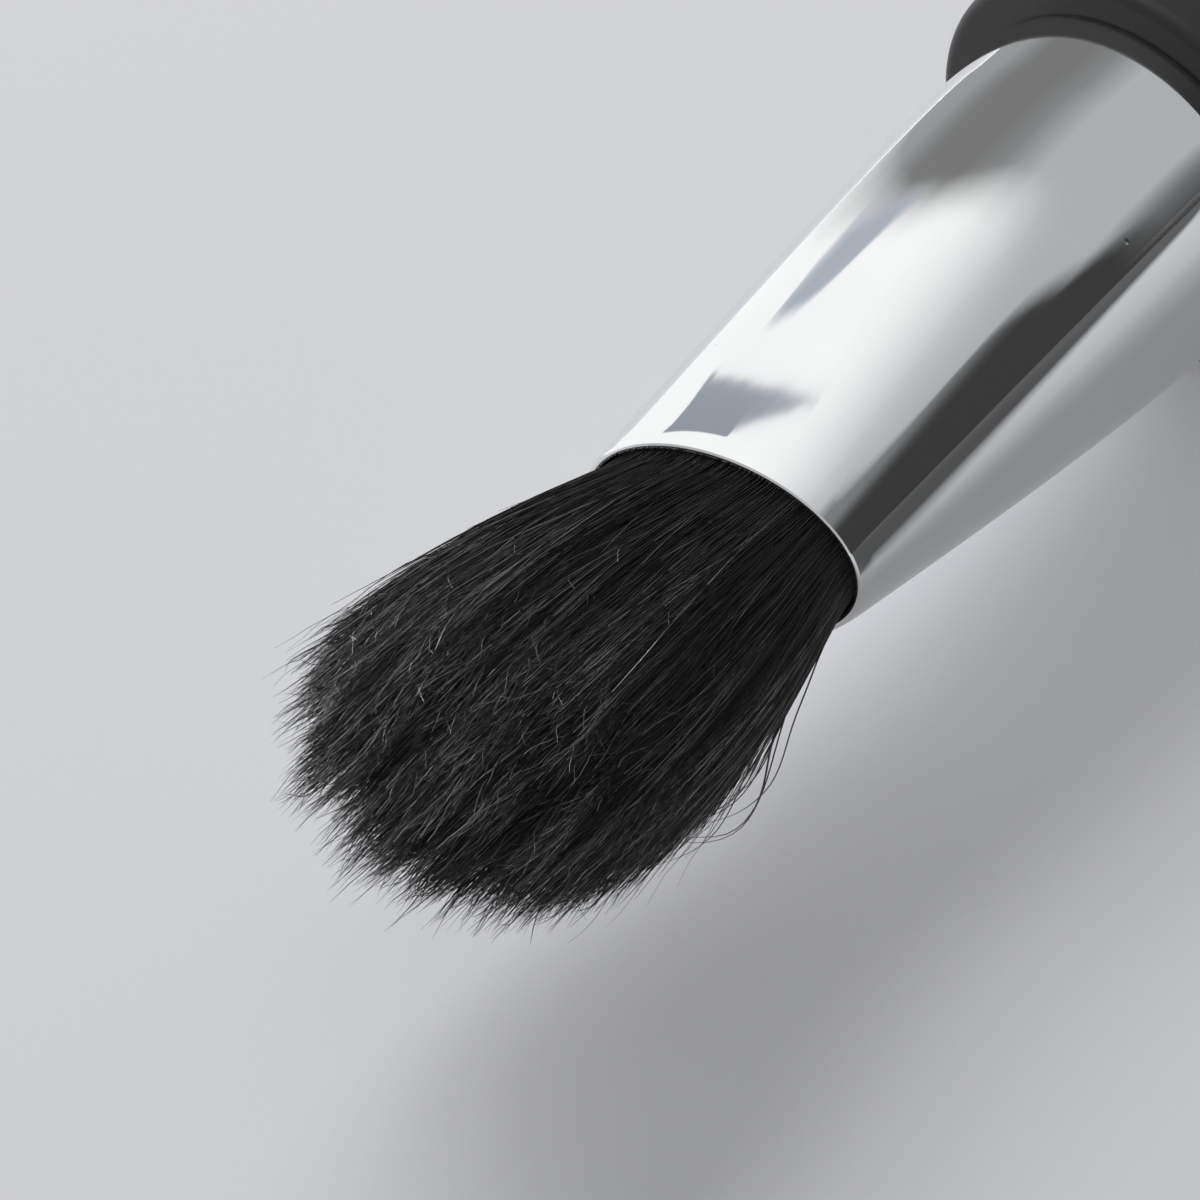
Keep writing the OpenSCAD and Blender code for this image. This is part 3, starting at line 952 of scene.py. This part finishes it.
def show_card(name, spots, fades, row, strength, tint=(1, 1, 1)):
    quads = [
        (j + i, j + i + 1, j + row + i + 1, j + row + i)
        for j in range(0, len(spots) - row, row) for i in range(row - 1)
    ]
    mesh = bpy.data.meshes.new(name)
    mesh.from_pydata(spots, [], quads)
    mesh.attributes.new("fade", "FLOAT", "POINT").data.foreach_set("value", fades)
    mesh.materials.append(card_finish(name, strength, tint))
    card = piece_from(name, mesh)
    card.visible_camera = card.visible_diffuse = card.visible_shadow = False
    card.visible_transmission = card.visible_volume_scatter = False
    return card


COOL = (0.93, 1.0, 1.14)
hang_card("white_card", 800, [
    (40, -0.5, 0.5, 0), (52, -0.5, 0.5, 0.1), (61, -0.495, 0.5, 0.22), (67, -0.49, 0.5, 0.38),
    (77, -0.48, 0.5, 0.6), (84, -0.472, 0.5, 0.75), (92, -0.466, 0.5, 0.9), (105, -0.452, 0.5, 1),
    (118, -0.444, 0.5, 1), (135, -0.455, 0.5, 1), (150, -0.485, 0.5, 1), (165, -0.52, 0.5, 1),
    (178, -0.555, 0.5, 1), (188, -0.565, 0.5, 0.75), (197, -0.575, 0.5, 0.4),
    (208, -0.58, 0.5, 0.15), (216, -0.6, 0.5, 0)], strength=1.02, soft=(0.04, 0.1))
hang_card("edge_shade", 850, [
    (180, -0.64, -0.46, 0), (192, -0.64, -0.46, 0.4), (202, -0.64, -0.48, 0.7),
    (214, -0.64, -0.5, 0.7), (226, -0.64, -0.5, 0)], strength=0.5, soft=(0.1, 0.1))
hang_card("grey_strip", 700, [
    (94, -0.346, -0.3455, 0), (96, -0.3443, -0.342, 0.9), (100, -0.3415, -0.3385, 1),
    (105, -0.339, -0.3315, 1), (109, -0.3383, -0.3285, 1), (113, -0.3395, -0.3265, 1),
    (119, -0.3427, -0.325, 1), (121.5, -0.345, -0.325, 1), (122.5, -0.346, -0.3, 1),
    (128, -0.3534, -0.3, 1), (137, -0.3707, -0.3, 1), (145.5, -0.3915, -0.3, 1),
    (150.5, -0.4045, -0.3, 1), (151.5, -0.4075, -0.395, 1), (153.5, -0.4135, -0.4085, 1),
    (155.5, -0.4195, -0.4185, 0)],
    strength=0.345, soft=(0.025, 0.15), tint=COOL, seen_at=1.7)
hang_card("grey_streak", 720, [
    (122, -0.45, -0.43, 0), (127, -0.45, -0.42, 0.6), (129.5, -0.452, -0.409, 1),
    (131.5, -0.455, -0.398, 1), (134, -0.458, -0.3915, 1), (137, -0.46, -0.3905, 1),
    (143, -0.465, -0.398, 1), (147, -0.47, -0.408, 0.85), (149, -0.475, -0.43, 0.6),
    (152, -0.48, -0.45, 0)],
    strength=0.47, soft=(0.35, 0.15), tint=COOL, seen_at=5.5)
hang_card("dark_card", 90, [
    (-4, -0.6, 0.5, 1), (10, -0.59, 0.5, 1), (15, -0.575, 0.5, 1), (21, -0.54, 0.5, 1),
    (26, -0.522, 0.5, 1), (30, -0.505, 0.5, 0.95), (34, -0.488, 0.5, 0.8), (36.5, -0.465, 0.5, 0.68),
    (39, -0.415, 0.5, 0.62), (42, -0.385, 0.5, 0.62), (46, -0.36, 0.5, 0.6), (49, -0.35, 0.5, 0.4),
    (54, -0.34, 0.5, 0)], strength=0.045, soft=(0.03, 0.1))
hang_card("dim_card", 93, [
    (-6, -0.78, -0.5, 0.85), (4, -0.78, -0.5, 0.85), (10, -0.78, -0.5, 0.75), (14, -0.78, -0.5, 0.62),
    (18, -0.76, -0.51, 0.4), (24, -0.74, -0.53, 0)], strength=0.045, soft=(0.05, 0.05))
hang_card("grey_ceiling", 900, [
    (78, -0.9, -0.42, 0), (98, -0.9, -0.42, 0.8), (115, -0.9, -0.42, 1), (140, -0.9, -0.42, 0.97),
    (150, -0.9, -0.45, 0.75), (159, -0.9, -0.47, 0.5), (180, -0.9, -0.48, 0.45),
    (198, -0.9, -0.5, 0.3), (214, -0.9, -0.5, 0)], strength=0.2, soft=(0.1, 0.03))

# %% [markdown]
# The lowest part of the ferrule's side mirrors the sheet itself. A dark strip that lies on
# the sheet, again for glossy rays only, carries the dark card on down to the brush. A second
# one under the brush stands for the dimness there.

# %% Lay the dark strips
STRIP_STEP, STRIP_HEIGHT = 2, 0.05


def lay_strip(name, rows, strength, soft):
    """rows: how far along the brush, the strip's near and far side, what is left."""
    shares = faded_shares(soft)
    spots, fades = [], []
    for along, near, far, left in filled_in(rows, STRIP_STEP):
        for share in shares:
            aside = near + (far - near) * share
            spots.append(Vector((along, aside, STRIP_HEIGHT)) * MM)
            fades.append(left if 0 < share < 1 else 0)
    return show_card(name, spots, fades, len(shares), strength)


lay_strip("dark_strip", [
    (76, 7, 130, 0), (70, 8, 130, 0.9), (66, 10, 130, 0.95), (50, 23.5, 130, 0.95),
    (34, 37, 130, 0.9), (0, 66, 130, 0.85), (-60, 115, 160, 0)], strength=0.06, soft=(0.035, 0.1))
lay_strip("shadow_strip", [
    (105, -14, 14, 0), (92, -14, 13, 0.6), (66, -14, 11, 0.6),
    (50, -14, 16, 0.4), (30, -14, 16, 0)], strength=0.24, soft=(0.2, 0.2))
